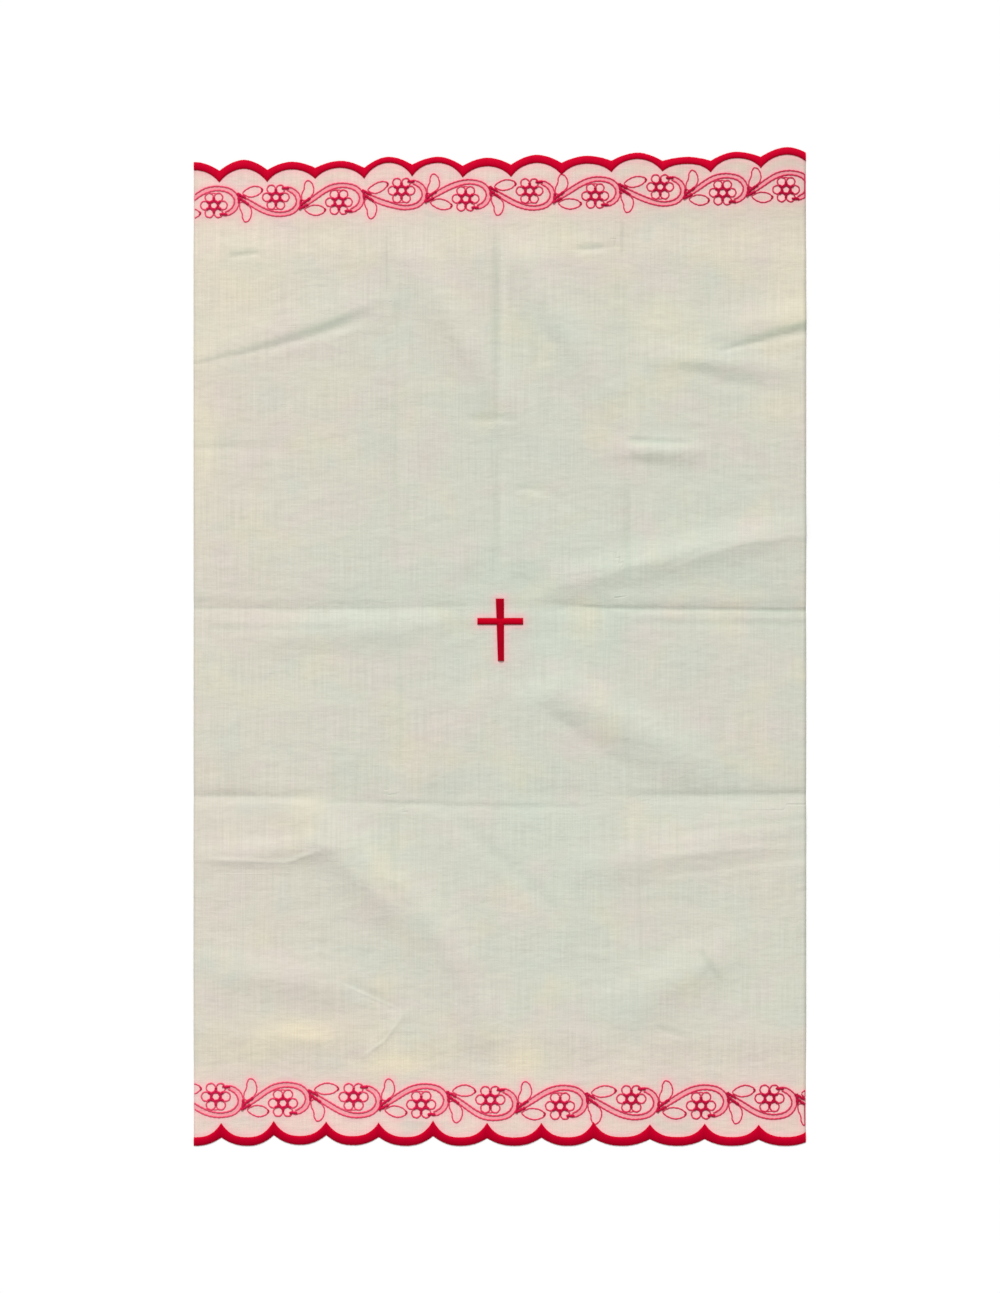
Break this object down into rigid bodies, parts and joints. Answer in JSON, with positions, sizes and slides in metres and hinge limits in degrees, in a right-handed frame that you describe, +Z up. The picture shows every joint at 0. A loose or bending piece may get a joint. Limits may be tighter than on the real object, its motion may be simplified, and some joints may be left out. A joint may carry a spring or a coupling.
{
  "type": "purificator",
  "caption": "Small flat altar cloth of pale cotton with a scalloped crimson edge and a flower vine at each end, and a small crimson cross in the middle.",
  "frame": {"origin": "middle of the underside, on the table that the cloth lies on", "axes": "+Z up, +Y along the cloth to its head end, +X across to the right as seen from above"},
  "size_m": [0.2834, 0.4624, 0.0035],
  "materials": {
    "cotton": "matte plain weave",
    "crimson_satin": "satin stitch",
    "crimson_outline": "outline stitch"
  },
  "bodies": {
    "root": {"cloth": "cotton", "head_scallop_edging": "crimson_satin", "foot_scallop_edging": "crimson_satin", "head_vine": "crimson_outline", "foot_vine": "crimson_outline", "cross": "crimson_satin"}
  },
  "joints": []
}
